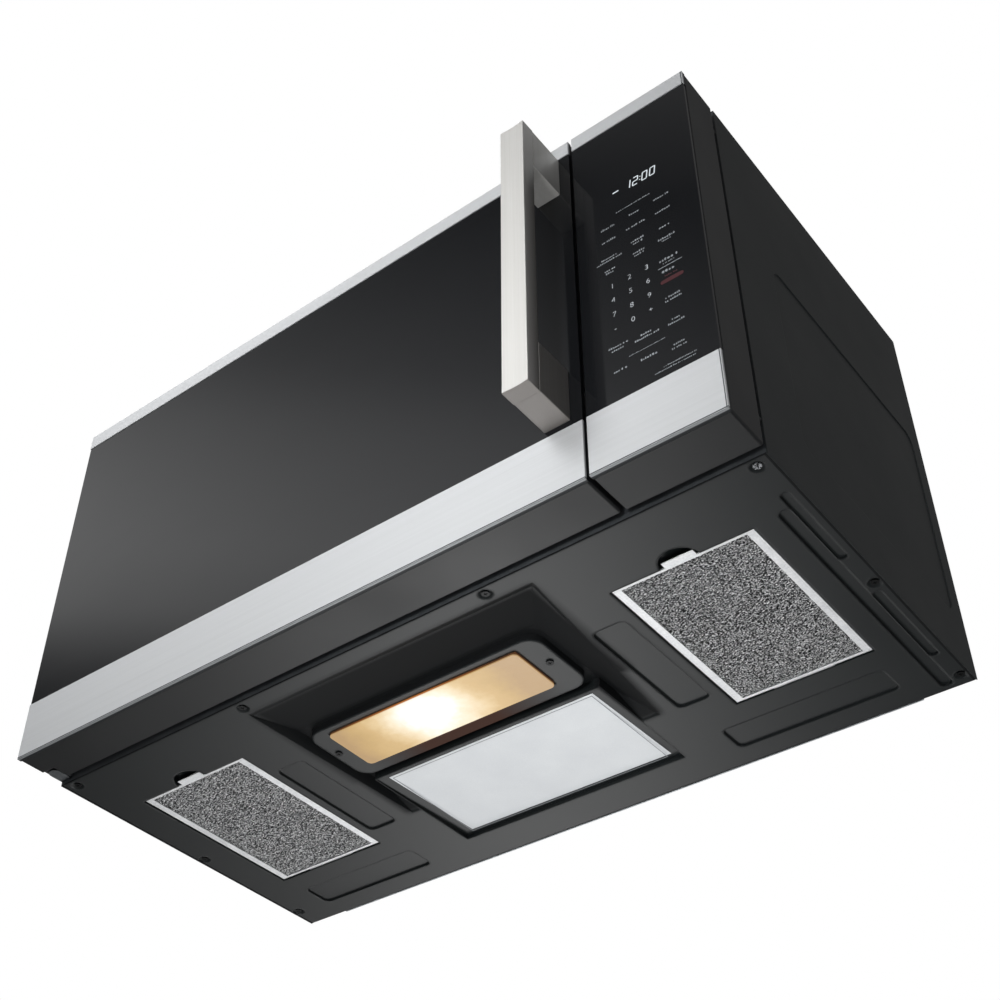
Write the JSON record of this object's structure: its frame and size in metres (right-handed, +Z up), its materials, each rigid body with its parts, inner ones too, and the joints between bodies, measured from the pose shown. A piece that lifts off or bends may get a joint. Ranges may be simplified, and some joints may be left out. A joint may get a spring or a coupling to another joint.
{
  "type": "over the range microwave",
  "caption": "Over the range microwave oven with a side hung glass door, bar handle, touch panel, lit base and grease filters.",
  "frame": {"origin": "on the wall plane at the middle of the bottom edge of the wall plate", "axes": "+X to the right seen from the front, +Y into the wall, +Z up"},
  "size_m": [0.759, 0.4596, 0.4175],
  "materials": {
    "case_paint": "dark satin powder coat, fine orange peel",
    "base_paint": "dark grey satin paint with a soft sheen",
    "frame_satin": "dark grey satin moulding",
    "black_glass": "opaque black glass, polished",
    "stainless": "fine horizontal brush",
    "handle_steel": "fine brush along the bar",
    "galvanised": "dull galvanised sheet",
    "enamel": "light grey oven enamel",
    "screen_black": "matt black",
    "screw_steel": "bright zinc",
    "hinge_steel": "plain steel",
    "filter_rail": "folded aluminium strip",
    "filter_net": "layered expanded aluminium mesh",
    "label_foil": "blank matt foil sheet",
    "lens_glass": "ribbed warm lens, lit",
    "lamp_glass": "lit bulb",
    "socket_ceramic": "glazed white",
    "reflector": "bright sheet",
    "tray_glass": "clear pressed glass",
    "white_plastic": "moulded nylon",
    "dark_plastic": "moulded plastic",
    "red_plastic": "moulded plastic",
    "fan_plastic": "moulded plastic",
    "motor_steel": "laminated steel",
    "core_steel": "varnished laminations",
    "can_aluminium": "drawn can",
    "mica": "mica sheet",
    "charcoal": "charcoal granules in a net",
    "board_green": "circuit board",
    "gland_rubber": "black rubber"
  },
  "bodies": {
    "case": {"outer_case": "case_paint", "rear_panel": "galvanised", "wall_plate": "galvanised", "base_plate": "base_paint", "case_screws": "screw_steel", "cavity": "enamel", "front_frame": "enamel", "bay_floor": "galvanised", "waveguide": "galvanised", "waveguide_cover": "mica", "magnetron": "can_aluminium", "transformer": "core_steel", "capacitor": "can_aluminium", "fan_shroud": "dark_plastic", "fan_motor": "motor_steel", "turntable_motor": "motor_steel", "blower_housing": "galvanised", "blower_motor": "motor_steel", "vent_grille": "case_paint", "charcoal_filter": "charcoal", "lamp_housing": "reflector", "lamp_socket": "socket_ceramic", "lamp_bulb": "lamp_glass", "lamp_lens": "lens_glass", "lamp_cover": "base_paint", "label_plate": "label_foil", "cord_gland": "gland_rubber", "hinge_brackets": "hinge_steel", "interlock_bracket": "white_plastic", "door_switches": "dark_plastic", "control_board": "board_green", "panel_frame": "frame_satin", "panel_glass": "black_glass", "panel_bottom_strip": "stainless", "panel_top_strip": "stainless"},
    "door": {"door_frame": "frame_satin", "door_glass": "black_glass", "door_bottom_strip": "stainless", "door_top_strip": "stainless", "inner_door_panel": "enamel", "door_screen": "screen_black", "choke_cover": "dark_plastic", "handle_bar": "handle_steel", "handle_face": "handle_steel", "handle_posts": "handle_steel", "handle_screws": "screw_steel"},
    "latch": {"latch_hooks": "dark_plastic"},
    "plungers": {"switch_plungers": "red_plastic"},
    "coupler": {"turntable_coupler": "white_plastic"},
    "tray": {"glass_tray": "tray_glass"},
    "ring": {"roller_ring": "white_plastic"},
    "wheel_1": {"roller_1": "white_plastic"},
    "wheel_2": {"roller_2": "white_plastic"},
    "wheel_3": {"roller_3": "white_plastic"},
    "vent_fan": {"blower_wheels": "fan_plastic"},
    "magnetron_fan": {"cooling_fan": "fan_plastic"},
    "left_filter": {"filter_frame_left": "filter_rail", "filter_mesh_left": "filter_net"},
    "right_filter": {"filter_frame_right": "filter_rail", "filter_mesh_right": "filter_net"}
  },
  "joints": [
    {"name": "door_swing", "type": "hinge", "parent": "case", "child": "door", "pos_m": [-0.3715, -0.3665, 0.209], "axis": [0, 0, -1], "range_deg": [0, 100]},
    {"name": "latch_lift", "type": "slide", "parent": "door", "child": "latch", "axis": [0, 0, 1], "range_m": [0, 0.004], "stiffness_N_per_m": 400, "springref_m": -0.004},
    {"name": "plunger_press", "type": "slide", "parent": "case", "child": "plungers", "axis": [1, 0, 0], "range_m": [0, 0.0012], "stiffness_N_per_m": 300, "springref_m": -0.001},
    {"name": "turntable_spin", "type": "hinge", "parent": "case", "child": "coupler", "pos_m": [-0.0675, -0.18385, 0.08], "axis": [0, 0, 1], "continuous": true},
    {"name": "tray_lift", "type": "slide", "parent": "coupler", "child": "tray", "axis": [0, 0, 1], "range_m": [0, 0.1]},
    {"name": "ring_spin", "type": "hinge", "parent": "case", "child": "ring", "pos_m": [-0.0675, -0.18385, 0.0823], "axis": [0, 0, 1], "continuous": true},
    {"name": "wheel_1_spin", "type": "hinge", "parent": "ring", "child": "wheel_1", "pos_m": [-0.0675, -0.08585, 0.0823], "axis": [0, 1, 0], "continuous": true},
    {"name": "wheel_2_spin", "type": "hinge", "parent": "ring", "child": "wheel_2", "pos_m": [-0.15237, -0.23285, 0.0823], "axis": [-0.866, -0.5, 0], "continuous": true},
    {"name": "wheel_3_spin", "type": "hinge", "parent": "ring", "child": "wheel_3", "pos_m": [0.01737, -0.23285, 0.0823], "axis": [0.866, -0.5, 0], "continuous": true},
    {"name": "vent_fan_spin", "type": "hinge", "parent": "case", "child": "vent_fan", "pos_m": [0, -0.085, 0.3735], "axis": [1, 0, 0], "continuous": true},
    {"name": "magnetron_fan_spin", "type": "hinge", "parent": "case", "child": "magnetron_fan", "pos_m": [0.275, -0.058, 0.24], "axis": [0, 1, 0], "continuous": true},
    {"name": "left_filter_tip", "type": "hinge", "parent": "case", "child": "left_filter", "pos_m": [-0.2716, -0.0902, 0.00115], "axis": [1, 0, 0], "range_deg": [0, 60]},
    {"name": "right_filter_tip", "type": "hinge", "parent": "case", "child": "right_filter", "pos_m": [0.264, -0.0902, 0.00115], "axis": [1, 0, 0], "range_deg": [0, 60]}
  ],
  "couplings": [
    {"joint": "ring_spin", "follows": "turntable_spin", "ratio": 0.5},
    {"joint": "wheel_1_spin", "follows": "turntable_spin", "ratio": -7},
    {"joint": "wheel_2_spin", "follows": "turntable_spin", "ratio": -7},
    {"joint": "wheel_3_spin", "follows": "turntable_spin", "ratio": -7}
  ]
}
